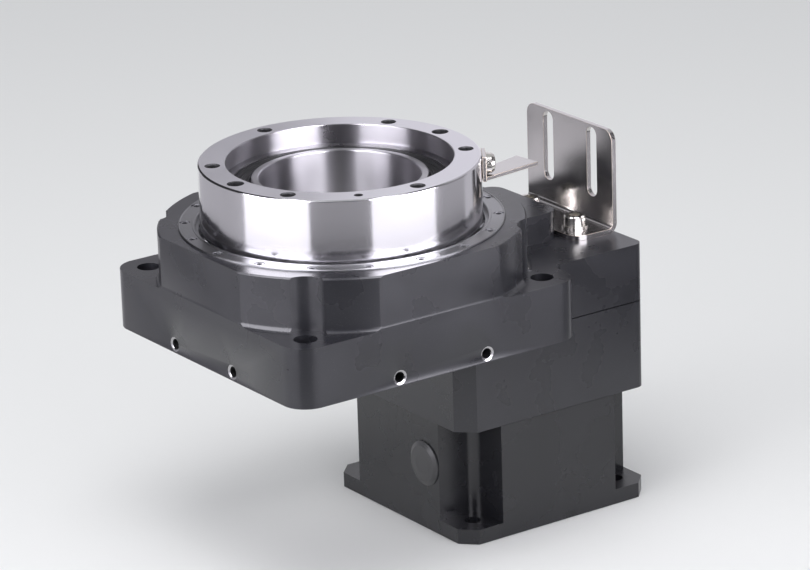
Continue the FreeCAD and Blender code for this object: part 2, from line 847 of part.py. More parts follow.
def pinion_shaft():
    """Pinion cut on its shaft, with a hollow lower end that the collar clamps on a motor shaft."""
    clamp_end_top = lower_bearing_bottom - clamp_end_gap
    bore_top = clamp_end_bottom + clamp_bore_depth
    journal = cylinder(shaft_radius, clamp_end_top, upper_bearing_top - 0.5, input_axis)
    shoulder = cylinder(shaft_shoulder_radius, gear_bottom - 2.0, upper_bearing_bottom, input_axis)
    spacer = cylinder(shaft_shoulder_radius, lower_bearing_top, middle_bearing_bottom, input_axis)
    clamp_end = cylinder(clamp_end_radius, clamp_end_bottom, clamp_end_top, input_axis)
    clamp_end = clamp_end.cut(cylinder(motor_shaft_radius, clamp_end_bottom, bore_top, input_axis))
    low = gear_bottom - 0.5
    high = gear_top + 0.5
    teeth = gear_body(pinion_teeth, 3, 180.0 / pinion_teeth, low, high, input_axis)
    body = journal.fuse([shoulder, spacer, clamp_end, teeth]).removeSplitter()
    half_slit = clamp_slit_width / 2
    x = centre_distance
    slit_top = bore_top - 1.0
    slit = block(x - half_slit, x + half_slit, -clamp_end_radius, clamp_end_radius,
                 clamp_end_bottom, slit_top)
    return body.cut(slit)


def shaft_seal():
    low = seal_seat_bottom
    high = low + seal_width
    lip = shaft_radius + fit_play
    outer = ball_bearing_outer_radius
    return turned([
        (lip, low + 1.2), (lip + 1.5, low), (outer, low), (outer, high),
        (lip + seal_lip_reach, high), (lip + seal_lip_reach - seal_lip_thickness, low + 2.0),
    ], input_axis)


def clamp_collar():
    x = centre_distance
    ring = tube(clamp_end_radius + fit_play, collar_radius, collar_bottom,
                collar_bottom + collar_height, input_axis)
    half_slit = clamp_slit_width / 2
    slit = block(x - half_slit, x + half_slit, -collar_radius, 0, collar_bottom,
                 collar_bottom + collar_height)
    seat_x = x - clamp_screw_seat
    start = V(x - collar_radius, -clamp_screw_offset, clamp_level)
    hole = Part.makeCylinder(screw_m5[0], 2 * collar_radius, start, V(1, 0, 0))
    head_room = Part.makeCylinder(screw_m5[1] + hole_play, seat_x - start.x, start, V(1, 0, 0))
    return ring.cut(slit).cut(hole).cut(head_room)


def clamp_screw():
    seat = (centre_distance - clamp_screw_seat, -clamp_screw_offset, clamp_level)
    return placed(cap_screw(screw_m5, clamp_screw_length), seat, (-1, 0, 0))


def adapter_flange_corners():
    half = adapter_size / 2
    inner = half - adapter_flange_chamfer
    x = centre_distance
    return [
        (x - inner, -half, 0), (x + inner, -half, 0), (x + half, -inner, 0), (x + half, inner, 0),
        (x + inner, half, 0), (x - inner, half, 0), (x - half, inner, 0), (x - half, -inner, 0),
    ]


def adapter_body_corners():
    half = adapter_size / 2
    inner = half - adapter_notch
    x = centre_distance
    r = adapter_notch_radius
    return [
        (x - inner, -half, 0), (x + inner, -half, 0), (x + inner, -inner, r), (x + half, -inner, 0),
        (x + half, inner, 0), (x + inner, inner, r), (x + inner, half, 0), (x - inner, half, 0),
        (x - inner, inner, r), (x - half, inner, 0), (x - half, -inner, 0), (x - inner, -inner, r),
    ]


def motor_adapter():
    flange_top = adapter_bottom + adapter_flange_thickness
    half = adapter_size / 2
    x = centre_distance
    body = prism(adapter_body_corners(), flange_top, adapter_top - adapter_joint_gap)
    flange = prism(adapter_flange_corners(), adapter_bottom, flange_top)
    spigot = cylinder(coupling_room_radius + adapter_land_width, adapter_top - adapter_joint_gap,
                      adapter_top, input_axis)
    tools = [
        cylinder(coupling_room_radius, adapter_bottom, adapter_top, input_axis),
        cylinder(motor_pilot_radius, adapter_bottom, adapter_bottom + motor_pilot_depth, input_axis),
    ]
    for place in square_places(motor_hole_spacing, input_axis):
        tools.append(cylinder(motor_hole_radius, adapter_bottom, flange_top, place))
    for place in adapter_screw_places():
        tools.append(cylinder(screw_m4[0] + hole_play, adapter_bottom, adapter_top, place))
        tools.append(cylinder(screw_m4[1] + hole_play, adapter_bottom, adapter_screw_seat(), place))
    start = V(x - half, -clamp_screw_offset, clamp_level)
    tools.append(Part.makeCylinder(plug_hole_radius, half, start, V(1, 0, 0)))
    return cut_all(body.fuse([flange, spigot]).removeSplitter(), tools)


def adapter_screw_seat():
    return adapter_bottom + adapter_height / 2


def adapter_screws():
    seat = adapter_screw_seat()
    screw = cap_screw(screw_m4, adapter_top - seat + adapter_thread_depth - thread_end_gap)
    places = adapter_screw_places()
    return Part.makeCompound([placed(screw, (x, y, seat), (0, 0, -1)) for x, y in places])


def access_plug():
    """Domed push-in plug; drawn along +Z and pointed out of the adapter's side."""
    rim = 0.5
    head = turned([
        (0, 0), (plug_head_radius, 0), (plug_head_radius, rim),
        (plug_head_radius * 0.8, plug_head_thickness * 0.85),
        (plug_head_radius * 0.45, plug_head_thickness), (0, plug_head_thickness),
    ])
    wall = 1.6
    stem = tube(plug_stem_radius - wall, plug_stem_radius, -plug_stem_length, 0)
    whole = head.fuse(stem)
    return placed(whole, (adapter_side_x, -clamp_screw_offset, clamp_level), (-1, 0, 0))


def bracket_screw_places():
    x = bracket_outer_x - bracket_screw_inset
    y = bracket_centre_y + bracket_screw_shift
    half = bracket_screw_spacing / 2
    return [(x, y - half), (x, y + half)]


def sensor_bracket():
    """Bent sheet angle: an upright plate with two slots and a foot screwed to the extension."""
    low = flange_height
    left = bracket_centre_y - bracket_width / 2
    right = bracket_centre_y + bracket_width / 2
    foot_x = bracket_outer_x - bracket_foot_length
    outer_bend = bracket_bend_radius + sheet_thickness
    inner_x = bracket_inner_x
    outer_x = bracket_outer_x
    bend_x = inner_x - bracket_bend_radius
    bend_z = low + outer_bend
    diagonal = math.sqrt(0.5)
    points = [
        V(foot_x, left, low), V(bend_x, left, low), V(outer_x, left, bend_z),
        V(outer_x, left, bracket_top), V(inner_x, left, bracket_top), V(inner_x, left, bend_z),
        V(bend_x, left, low + sheet_thickness), V(foot_x, left, low + sheet_thickness),
    ]
    outer_middle = V(bend_x + outer_bend * diagonal, left, bend_z - outer_bend * diagonal)
    inner_middle = V(bend_x + bracket_bend_radius * diagonal, left,
                     bend_z - bracket_bend_radius * diagonal)
    edges = [
        Part.LineSegment(points[0], points[1]).toShape(),
        Part.Arc(points[1], outer_middle, points[2]).toShape(),
        Part.LineSegment(points[2], points[3]).toShape(),
        Part.LineSegment(points[3], points[4]).toShape(),
        Part.LineSegment(points[4], points[5]).toShape(),
        Part.Arc(points[5], inner_middle, points[6]).toShape(),
        Part.LineSegment(points[6], points[7]).toShape(),
        Part.LineSegment(points[7], points[0]).toShape(),
    ]
    angle = Part.Face(Part.Wire(edges)).extrude(V(0, bracket_width, 0))
    foot_outline = prism([
        (foot_x, left, bracket_foot_radius), (outer_x + 1, left, 0),
        (outer_x + 1, right, 0), (foot_x, right, bracket_foot_radius),
    ], low, bracket_top)
    face = Part.Face(rounded_outline([
        (0, left, 0), (0, right, 0),
        (bracket_top - low, right, bracket_corner_radius),
        (bracket_top - low, left, bracket_corner_radius),
    ], 0))
    plate_outline = face.extrude(V(0, 0, bracket_foot_length + 2))
    plate_outline.rotate(V(0, 0, 0), V(0, 1, 0), -90)
    plate_outline.translate(V(outer_x + 1, 0, low))
    body = angle.common(foot_outline).common(plate_outline)
    tools = []
    slot_radius = bracket_slot_width / 2
    for side in (-0.5, 0.5):
        y = bracket_centre_y + bracket_slot_shift + side * bracket_slot_spacing
        bottom = bracket_slot_bottom + slot_radius
        top = bracket_slot_bottom + bracket_slot_length - slot_radius
        for z in (bottom, top):
            centre = V(inner_x - 1, y, z)
            tools.append(Part.makeCylinder(slot_radius, sheet_thickness + 2, centre, V(1, 0, 0)))
        tools.append(block(inner_x - 1, outer_x + 1, y - slot_radius, y + slot_radius, bottom, top))
    for x, y in bracket_screw_places():
        tools.append(cylinder(screw_m5[0] + hole_play, low, low + sheet_thickness, (x, y)))
    for tool in tools:
        body = body.cut(tool)
    return body


def bracket_washers():
    low = flange_height + sheet_thickness
    hole = screw_m5[0] + hole_play
    high = low + washer_thickness
    rings = [tube(hole, bracket_washer_radius, low, high, place) for place in bracket_screw_places()]
    return Part.makeCompound(rings)


def bracket_screws():
    seat = flange_height + sheet_thickness + washer_thickness
    length = seat - flange_height + bracket_thread_depth - thread_end_gap
    screw = cap_screw((screw_m5[0], screw_m5[1], bracket_screw_head_height), length)
    return Part.makeCompound([placed(screw, (x, y, seat)) for x, y in bracket_screw_places()])


def flag_outward():
    angle = math.radians(flag_turn)
    return (math.cos(angle), math.sin(angle), 0.0)


def sensor_flag():
    """Sheet flag: a leg screwed to the rim of the table and a tongue that the sensor reads."""
    outward = V(*flag_outward())
    sideways = V(-outward.y, outward.x, 0)
    reach = math.radians(flag_direction)
    along = V(math.cos(reach), math.sin(reach), 0)
    half = flag_width / 2
    foot = outward * table_radius
    leg_base = [foot - sideways * half, foot + sideways * half,
                foot + sideways * half + outward * flag_thickness,
                foot - sideways * half + outward * flag_thickness]
    low = flag_level - flag_thickness
    leg_points = [p + V(0, 0, low) for p in leg_base]
    leg_face = Part.Face(Part.makePolygon(leg_points + leg_points[:1]))
    leg = leg_face.extrude(V(0, 0, flag_leg_height + flag_thickness))
    near_left = leg_base[1]
    near_right = leg_base[0]
    far_right = near_right + along * flag_length
    across = V(-along.y, along.x, 0)
    far_left = far_right + across * flag_width
    tongue_points = [p + V(0, 0, low) for p in (near_right, far_right, far_left, near_left)]
    tongue_face = Part.Face(Part.makePolygon(tongue_points + tongue_points[:1]))
    tongue = tongue_face.extrude(V(0, 0, flag_thickness))
    start = outward * (table_radius - 1) + V(0, 0, flag_screw_level)
    hole = Part.makeCylinder(screw_m4[0] + hole_play, flag_thickness + 2, start, outward)
    return leg.fuse(tongue).removeSplitter().cut(hole)


def flag_washer():
    outward = flag_outward()
    ring = tube(screw_m4[0] + hole_play, flag_washer_radius, 0, washer_thickness)
    reach = table_radius + flag_thickness
    return placed(ring, (outward[0] * reach, outward[1] * reach, flag_screw_level), outward)


def flag_screw():
    outward = flag_outward()
    reach = table_radius + flag_thickness + washer_thickness
    shank, head_radius = screw_m4[0], flag_screw_head_radius
    height = flag_screw_head_height
    end = -(flag_thickness + washer_thickness + flag_thread_depth - 0.2)
    head = turned([(0, end), (shank, end), (shank, 0), (head_radius, 0), (head_radius, height * 0.45),
                   (head_radius * 0.82, height * 0.85), (head_radius * 0.5, height), (0, height)])
    head = head.cut(hexagon(1.4, height * 0.4, height))
    return placed(head, (outward[0] * reach, outward[1] * reach, flag_screw_level), outward)


def main():
    nodes = {
        "main_housing": main_housing(),
        "output_table": output_table(),
        "inner_sleeve": inner_sleeve(),
        "sleeve_screws": sleeve_screws(),
        "sleeve_seal": sleeve_seal(),
        "bearing_outer_ring_upper": bearing_outer_ring(True),
        "bearing_outer_ring_lower": bearing_outer_ring(False),
        "bearing_inner_ring": bearing_inner_ring(),
        "bearing_rollers": bearing_rollers(),
        "bearing_screws": bearing_screws(),
        "table_gear": table_gear(),
        "table_gear_screws": table_gear_screws(),
        "gearbox_block": gearbox_block(),
        "gearbox_screws": gearbox_screws(),
        "gearbox_dowels": gearbox_dowels(),
        "pinion_shaft": pinion_shaft(),
        "pinion_bearing_outer_rings": pinion_bearing_outer_rings(),
        "pinion_bearing_inner_rings": pinion_bearing_inner_rings(),
        "pinion_bearing_balls": pinion_bearing_balls(),
        "shaft_seal": shaft_seal(),
        "bearing_circlip": bearing_circlip(),
        "clamp_collar": clamp_collar(),
        "clamp_screw": clamp_screw(),
        "motor_adapter": motor_adapter(),
        "adapter_screws": adapter_screws(),
        "access_plug": access_plug(),
        "sensor_bracket": sensor_bracket(),
        "bracket_washers": bracket_washers(),
        "bracket_screws": bracket_screws(),
        "sensor_flag": sensor_flag(),
        "flag_washer": flag_washer(),
        "flag_screw": flag_screw(),
    }
    os.makedirs("parts", exist_ok=True)
    for name, shape in nodes.items():
        shape.exportStep(os.path.join("parts", name + ".step"))
        print(name, len(shape.Solids), "solids,", round(shape.Volume), "mm3, valid", shape.isValid())


main()
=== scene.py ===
# %% [markdown]
# # A hollow rotary platform in black anodised aluminium and bright steel
# The object is a turntable with an open middle. Most of what shows was either milled
# from a block or turned on a lathe, so this lesson uses two ways of modelling. Turned
# pieces are a profile spun round an axis. Milled pieces start from outlines that are
# raised, joined and drilled, then given small broken edges that catch the light.
# Sizes in the steps are millimetres, and the helpers turn them into metres.

# %% Load the frame
import bmesh
import bpy
import json
import math
from mathutils import Matrix, Vector


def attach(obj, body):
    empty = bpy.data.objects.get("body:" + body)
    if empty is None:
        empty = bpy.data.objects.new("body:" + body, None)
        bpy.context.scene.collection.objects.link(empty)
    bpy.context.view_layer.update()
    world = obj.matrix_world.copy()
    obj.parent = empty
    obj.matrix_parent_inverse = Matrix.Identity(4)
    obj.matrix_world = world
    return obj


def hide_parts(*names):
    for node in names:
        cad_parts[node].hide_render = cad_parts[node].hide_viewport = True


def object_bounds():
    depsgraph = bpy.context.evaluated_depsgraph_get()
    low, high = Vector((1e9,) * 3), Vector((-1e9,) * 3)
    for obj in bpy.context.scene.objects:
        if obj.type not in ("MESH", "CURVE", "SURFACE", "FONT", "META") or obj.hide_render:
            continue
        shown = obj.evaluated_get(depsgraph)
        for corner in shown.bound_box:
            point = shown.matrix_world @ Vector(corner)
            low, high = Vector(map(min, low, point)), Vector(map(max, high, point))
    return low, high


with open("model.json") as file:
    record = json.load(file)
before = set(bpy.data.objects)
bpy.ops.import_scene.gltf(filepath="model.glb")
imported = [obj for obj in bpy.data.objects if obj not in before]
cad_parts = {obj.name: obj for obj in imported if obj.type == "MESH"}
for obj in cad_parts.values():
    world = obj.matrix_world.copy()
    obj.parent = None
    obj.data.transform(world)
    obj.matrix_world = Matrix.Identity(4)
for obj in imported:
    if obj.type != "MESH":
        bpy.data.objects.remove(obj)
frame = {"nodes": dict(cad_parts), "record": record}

MM = 0.001
solid_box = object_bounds()
print("frame box", [[round(v, 4) for v in corner] for corner in solid_box])

# %% [markdown]
# ## Small tools
# Each finished piece stays at the origin with its place in its mesh. That keeps patterns
# that read object coordinates still while the piece turns. A helper turns a bmesh into
# an object, another attaches the piece to the body it rides on and hides the node it
# stands for.

# %% Turn a bmesh into an object
def as_object(bm, name):
    mesh = bpy.data.meshes.new(name)
    bm.to_mesh(mesh)
    bm.free()
    piece = bpy.data.objects.new(name, mesh)
    bpy.context.scene.collection.objects.link(piece)
    return piece


# %% Spin a profile of radius and height corners
def spin_profile(profile, steps=160, centre=(0.0, 0.0)):
    bm = bmesh.new()
    cx, cy = centre[0] * MM, centre[1] * MM
    verts = [bm.verts.new((cx + r * MM, cy, z * MM)) for r, z in profile]
    closed = all(r > 0 for r, z in profile)
    pairs = list(zip(verts, verts[1:] + (verts[:1] if closed else [])))
    edges = [bm.edges.new(pair) for pair in pairs]
    bmesh.ops.spin(bm, geom=verts + edges, cent=(cx, cy, 0), axis=(0, 0, 1),
                   angle=2 * math.pi, steps=steps, use_merge=True)
    bmesh.ops.remove_doubles(bm, verts=bm.verts, dist=1e-7)
    bmesh.ops.recalc_face_normals(bm, faces=bm.faces)
    return bm


# %% Raise an outline of corners, each rounded by its own radius
def slab(corners, low, high):
    bm = bmesh.new()
    face = bm.faces.new([bm.verts.new((x * MM, y * MM, low * MM)) for x, y, radius in corners])
    grown = bmesh.ops.extrude_face_region(bm, geom=[face])
    raised = [item for item in grown["geom"] if isinstance(item, bmesh.types.BMVert)]
    bmesh.ops.translate(bm, vec=(0, 0, (high - low) * MM), verts=raised)
    bmesh.ops.recalc_face_normals(bm, faces=bm.faces)
    for radius in sorted({r for x, y, r in corners if r}):
        places = {(round(x, 2), round(y, 2)) for x, y, r in corners if r == radius}
        uprights = []
        for edge in bm.edges:
            first, last = edge.verts[0].co, edge.verts[1].co
            corner = (round(first.x / MM, 2), round(first.y / MM, 2))
            if abs(first.z - last.z) > 0.9 * (high - low) * MM and corner in places:
                uprights.append(edge)
        bmesh.ops.bevel(bm, geom=uprights, offset=radius * MM, offset_type="OFFSET",
                        affect="EDGES", segments=12, profile=0.5, material=-1)
    return bm


# %% Join, cut or intersect an object with a bmesh
def combine(piece, bm, operation):
    other = as_object(bm, "cutter")
    step = piece.modifiers.new("combine", "BOOLEAN")
    step.operation = operation
    step.solver = "EXACT"
    step.object = other
    graph = bpy.context.evaluated_depsgraph_get()
    combined = bpy.data.meshes.new_from_object(piece.evaluated_get(graph))
    piece.modifiers.clear()
    piece.data = combined
    bpy.data.objects.remove(other)


def drill(piece, bm):
    combine(piece, bm, "DIFFERENCE")


# %% Places of a pattern, and copies of one bmesh at each of them
def at_places(places, height):
    return [Matrix.Translation((x * MM, y * MM, height * MM)) for x, y in places]


def ring_moves(radius, degrees, height):
    angles = [math.radians(a) for a in degrees]
    return at_places([(radius * math.cos(a), radius * math.sin(a)) for a in angles], height)


def square_of(spacing, x=0.0):
    half = spacing / 2
    return [(x + sx * half, sy * half) for sx in (-1, 1) for sy in (-1, 1)]


def scattered(make, moves):
    whole = bmesh.new()
    for move in moves:
        bm = make()
        bmesh.ops.transform(bm, matrix=move, verts=bm.verts)
        mesh = bpy.data.meshes.new("part")
        bm.to_mesh(mesh)
        bm.free()
        whole.from_mesh(mesh)
        bpy.data.meshes.remove(mesh)
    return whole


# %% Break the edges and shade the curves smooth
def break_edges(piece, width, angle=32.0, edge_wear_and_light_slot=-1):
    bm = bmesh.new()
    bm.from_mesh(piece.data)
    for face in bm.faces:
        face.smooth = True
    for edge in bm.edges:
        sharp = len(edge.link_faces) == 2 and edge.calc_face_angle(0) > math.radians(angle)
        edge.smooth = not sharp
    bm.to_mesh(piece.data)
    bm.free()
    if width > 0:
        bevel = piece.modifiers.new("broken edges", "BEVEL")
        bevel.width = width * MM
        bevel.segments = 2
        bevel.limit_method = "ANGLE"
        bevel.angle_limit = math.radians(angle)
        bevel.harden_normals = True
        # Bevel faces take this slot: a finish that is partly wear and partly painted light
        # along the edges
        bevel.material = edge_wear_and_light_slot


# %% Dress a piece: body, node, slot and materials
def dress(piece, body, nodes, materials):
    piece.data.materials.clear()
    for material in materials:
        piece.data.materials.append(material)
    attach(piece, body)
    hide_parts(*nodes)
    print(piece.name, len(piece.data.polygons), "faces on", body)


# %% Paint the faces that lie inside a hole
def paint_inside(piece, centre, axis, radius, shallow, deep, index):
    start = Vector(centre) * MM
    along = Vector(axis)
    for polygon in piece.data.polygons:
        offset = polygon.center - start
        depth = -offset.dot(along)
        reach = (offset + depth * along).length
        if reach < radius * MM and shallow * MM < depth < deep * MM:
            polygon.material_index = index


# %% [markdown]
# ## Finishes
# Three effects return in many materials, so each is a shader node group: the fine grain
# of blasted and anodised metal with bright specks that are painted glints, the fine rings
# that a lathe tool leaves, and the soft smudges of handling. The groups put out only
# values that change over the surface.

# %% A helper for nodes and one for groups
def node(tree, kind, **settings):
    made = tree.nodes.new(kind)
    for key, value in settings.items():
        setattr(made, key, value)
    return made


def new_group(name, inputs, outputs):
    tree = bpy.data.node_groups.new(name, "ShaderNodeTree")
    for label, value in inputs:
        socket = tree.interface.new_socket(label, in_out="INPUT", socket_type="NodeSocketFloat")
        socket.default_value = value
    for label in outputs:
        tree.interface.new_socket(label, in_out="OUTPUT", socket_type="NodeSocketFloat")
    return tree, node(tree, "NodeGroupInput"), node(tree, "NodeGroupOutput")


# %% Grain of blasted metal, with bright specks that are painted glints
grain_tree, grain_in, grain_out = new_group(
    "blasted_grain", [("Scale", 2600.0), ("Painted Glint Limit", 0.64)], ["Height", "Painted Glint"])
coords = node(grain_tree, "ShaderNodeTexCoord")
noise = node(grain_tree, "ShaderNodeTexNoise")
noise.inputs["Detail"].default_value = 3.0
painted_glint = node(grain_tree, "ShaderNodeMapRange")
painted_glint.inputs["To Min"].default_value = 0.0
painted_glint.inputs["To Max"].default_value = 1.0
painted_glint.inputs["From Max"].default_value = 0.78
grain_tree.links.new(coords.outputs["Object"], noise.inputs["Vector"])
grain_tree.links.new(grain_in.outputs["Scale"], noise.inputs["Scale"])
grain_tree.links.new(noise.outputs["Fac"], painted_glint.inputs["Value"])
grain_tree.links.new(grain_in.outputs["Painted Glint Limit"], painted_glint.inputs["From Min"])
grain_tree.links.new(noise.outputs["Fac"], grain_out.inputs["Height"])
grain_tree.links.new(painted_glint.outputs["Result"], grain_out.inputs["Painted Glint"])
print("group", grain_tree.name)

# %% Rings of a lathe tool, from the radius and the height of each point
lathe_tree, lathe_in, lathe_out = new_group(
    "lathe_rings", [("Pitch", 9000.0)], ["Height", "Streak"])
coords = node(lathe_tree, "ShaderNodeTexCoord")
split = node(lathe_tree, "ShaderNodeSeparateXYZ")
flat = node(lathe_tree, "ShaderNodeCombineXYZ")
radius = node(lathe_tree, "ShaderNodeVectorMath", operation="LENGTH")
pair = node(lathe_tree, "ShaderNodeCombineXYZ")
rings = node(lathe_tree, "ShaderNodeTexNoise")
rings.inputs["Detail"].default_value = 2.0
broad = node(lathe_tree, "ShaderNodeTexNoise")
broad.inputs["Scale"].default_value = 900.0
lathe_tree.links.new(coords.outputs["Object"], split.inputs[0])
lathe_tree.links.new(split.outputs["X"], flat.inputs["X"])
lathe_tree.links.new(split.outputs["Y"], flat.inputs["Y"])
lathe_tree.links.new(flat.outputs[0], radius.inputs[0])
lathe_tree.links.new(radius.outputs["Value"], pair.inputs["X"])
lathe_tree.links.new(split.outputs["Z"], pair.inputs["Y"])
lathe_tree.links.new(pair.outputs[0], rings.inputs["Vector"])
lathe_tree.links.new(lathe_in.outputs["Pitch"], rings.inputs["Scale"])
lathe_tree.links.new(pair.outputs[0], broad.inputs["Vector"])
lathe_tree.links.new(rings.outputs["Fac"], lathe_out.inputs["Height"])
lathe_tree.links.new(broad.outputs["Fac"], lathe_out.inputs["Streak"])
print("group", lathe_tree.name)

# %% Smudges of handling
smudge_tree, smudge_in, smudge_out = new_group(
    "handling_smudges", [("Scale", 45.0)], ["Mask"])
coords = node(smudge_tree, "ShaderNodeTexCoord")
cloud = node(smudge_tree, "ShaderNodeTexNoise")
cloud.inputs["Detail"].default_value = 4.0
smudge_tree.links.new(coords.outputs["Object"], cloud.inputs["Vector"])
smudge_tree.links.new(smudge_in.outputs["Scale"], cloud.inputs["Scale"])
smudge_tree.links.new(cloud.outputs["Fac"], smudge_out.inputs["Mask"])
print("group", smudge_tree.name)


# %% [markdown]
# ### One recipe for all the metals
# A metal surface is a base colour that drifts a little, a roughness that drifts with the
# smudges, and a fine height that feeds a bump. The recipe takes these as numbers, so a
# finish is one line. Metallic is the same all over, so it sits on the shader's socket.
# Turned steel also stretches its highlights across the tool marks. Its tangent is the
# direction away from the axis, so that the stretch follows the piece when it turns.

# %% The recipe
BUMP_DEPTH = 0.00002


def finish_material(name, dark, light, metallic, rough, group, group_value, bump,
                    painted_glint=0.0, smudge=45.0, stretch=0.0, sheen=0.5):
    material = bpy.data.materials.new(name)
    material.use_nodes = True
    tree = material.node_tree
    shader = tree.nodes["Principled BSDF"]
    shader.inputs["Metallic"].default_value = metallic
    shader.inputs["Specular IOR Level"].default_value = sheen
    if stretch:
        place = node(tree, "ShaderNodeTexCoord")
        across = node(tree, "ShaderNodeVectorTransform", vector_type="VECTOR",
                      convert_from="OBJECT", convert_to="WORLD")
        shader.inputs["Anisotropic"].default_value = stretch
        tree.links.new(place.outputs["Object"], across.inputs[0])
        tree.links.new(across.outputs[0], shader.inputs["Tangent"])
    marks = node(tree, "ShaderNodeGroup", node_tree=smudge_tree)
    marks.inputs["Scale"].default_value = smudge
    texture = node(tree, "ShaderNodeGroup", node_tree=group)
    texture.inputs[0].default_value = group_value
    colour = node(tree, "ShaderNodeMix", data_type="RGBA")
    colour.inputs["A"].default_value = (*dark, 1.0)
    colour.inputs["B"].default_value = (*light, 1.0)
    last = colour.outputs["Result"]
    tree.links.new(marks.outputs["Mask"], colour.inputs["Factor"])
    # Bright specks mixed into the base colour are painted glints
    if painted_glint:
        shine = node(tree, "ShaderNodeMix", data_type="RGBA")
        shine.inputs["B"].default_value = (painted_glint, painted_glint, painted_glint, 1.0)
        tree.links.new(texture.outputs["Painted Glint"], shine.inputs["Factor"])
        tree.links.new(last, shine.inputs["A"])
        last = shine.outputs["Result"]
    spread = node(tree, "ShaderNodeMapRange")
    spread.inputs["From Min"].default_value = 0.3
    spread.inputs["From Max"].default_value = 0.7
    spread.inputs["To Min"].default_value = rough[0]
    spread.inputs["To Max"].default_value = rough[1]
    relief = node(tree, "ShaderNodeBump")
    relief.inputs["Strength"].default_value = bump
    relief.inputs["Distance"].default_value = BUMP_DEPTH
    tree.links.new(last, shader.inputs["Base Color"])
    tree.links.new(marks.outputs["Mask"], spread.inputs["Value"])
    tree.links.new(spread.outputs["Result"], shader.inputs["Roughness"])
    tree.links.new(texture.outputs["Height"], relief.inputs["Height"])
    tree.links.new(relief.outputs["Normal"], shader.inputs["Normal"])
    return material


# %% Anodised aluminium, its edges, partly worn and partly a painted highlight, and its bright cuts
# The anodised finishes carry painted glints as bright specks
black_anodised = finish_material(
    "black_anodised", (0.016, 0.016, 0.021), (0.024, 0.024, 0.030),
    0.0, (0.24, 0.34), grain_tree, 2600.0, 0.30, painted_glint=0.10, sheen=0.58)
# Edge finish: partly wear, partly a painted highlight along the broken edges
edge_wear_and_highlight = finish_material(
    "edge_wear_and_highlight", (0.09, 0.09, 0.10), (0.42, 0.41, 0.43),
    0.55, (0.24, 0.38), grain_tree, 2600.0, 0.30, smudge=260.0)
adapter_anodised = finish_material(
    "adapter_anodised", (0.010, 0.010, 0.013), (0.015, 0.015, 0.019),
    0.0, (0.22, 0.32), grain_tree, 3200.0, 0.22, painted_glint=0.07, sheen=0.58)
print("finishes", len(bpy.data.materials))

# %% Turned and ground steel
turned_steel = finish_material(
    "turned_steel", (0.64, 0.63, 0.65), (0.74, 0.73, 0.75),
    1.0, (0.11, 0.16), lathe_tree, 9000.0, 0.12, stretch=0.6)
# Darker copy of turned steel: painted shade for the table's recess and the sleeve, with a
# rougher finish
recess_shaded_steel = finish_material(
    "recess_shaded_steel", (0.38, 0.37, 0.39), (0.47, 0.46, 0.48),
    1.0, (0.27, 0.33), lathe_tree, 7000.0, 0.10, stretch=1.0)
ground_face = finish_material(
    "ground_face", (0.64, 0.63, 0.66), (0.70, 0.69, 0.72),
    1.0, (0.30, 0.38), lathe_tree, 6000.0, 0.20)
bearing_steel = finish_material(
    "bearing_steel", (0.24, 0.24, 0.25), (0.32, 0.32, 0.33),
    1.0, (0.30, 0.40), lathe_tree, 7000.0, 0.35, stretch=0.6)
print("finishes", len(bpy.data.materials))

# %% Hole mouths, painted shade for holes, gears, screws, sheet, rubber and plastic
cut_mouth = finish_material(
    "cut_mouth", (0.30, 0.30, 0.31), (0.55, 0.54, 0.55),
    1.0, (0.16, 0.26), grain_tree, 2600.0, 0.2)
# Painted shade for the faces inside tapped holes
painted_hole_shade = finish_material(
    "painted_hole_shade", (0.025, 0.025, 0.027), (0.045, 0.045, 0.048),
    0.5, (0.40, 0.55), grain_tree, 3000.0, 0.4)
gear_steel = finish_material(
    "gear_steel", (0.30, 0.30, 0.31), (0.40, 0.40, 0.41),
    1.0, (0.32, 0.42), grain_tree, 1800.0, 0.25)
black_oxide = finish_material(
    "black_oxide", (0.020, 0.020, 0.021), (0.035, 0.034, 0.034),
    0.6, (0.34, 0.46), grain_tree, 2400.0, 0.20)
bright_screw = finish_material(
    "bright_screw", (0.60, 0.58, 0.54), (0.74, 0.72, 0.68),
    1.0, (0.14, 0.26), grain_tree, 1500.0, 0.20, smudge=200.0)
stainless = finish_material(
    "stainless_sheet", (0.54, 0.52, 0.515), (0.66, 0.64, 0.63),
    1.0, (0.15, 0.24), grain_tree, 1200.0, 0.12, smudge=60.0)
# Warm colour of the cut sheet edges is a painted reflection
sheet_painted_reflection = finish_material(
    "cut_sheet_painted_reflection", (0.56, 0.47, 0.40), (0.70, 0.61, 0.53),
    1.0, (0.28, 0.42), grain_tree, 2200.0, 0.35, smudge=240.0)
seal_rubber = finish_material(
    "seal_rubber", (0.006, 0.006, 0.007), (0.012, 0.012, 0.013),
    0.0, (0.36, 0.50), lathe_tree, 3000.0, 0.50, sheen=0.35)
plug_plastic = finish_material(
    "plug_plastic", (0.045, 0.045, 0.048), (0.055, 0.055, 0.058),
    0.0, (0.30, 0.38), grain_tree, 1400.0, 0.10)
print("finishes", len(bpy.data.materials))

# %% Which finish, slot and body each node has
SLOT_FINISH = {
    "anodised_housing": black_anodised, "anodised_adapter": adapter_anodised,
    "turned_steel": turned_steel, "bearing_steel": bearing_steel, "gear_steel": gear_steel,
    "screw_steel": bright_screw, "black_screw_steel": black_oxide, "sheet_steel": stainless,
    "seal_rubber": seal_rubber, "plug_plastic": plug_plastic,
}
record = frame["record"]
NODE_SLOT = {entry["node"]: entry["material_slot"] for entry in record["subparts"]}
BODIES = record["behaviour"]["bodies"]
NODE_BODY = {name: body for body, names in BODIES.items() for name in names}

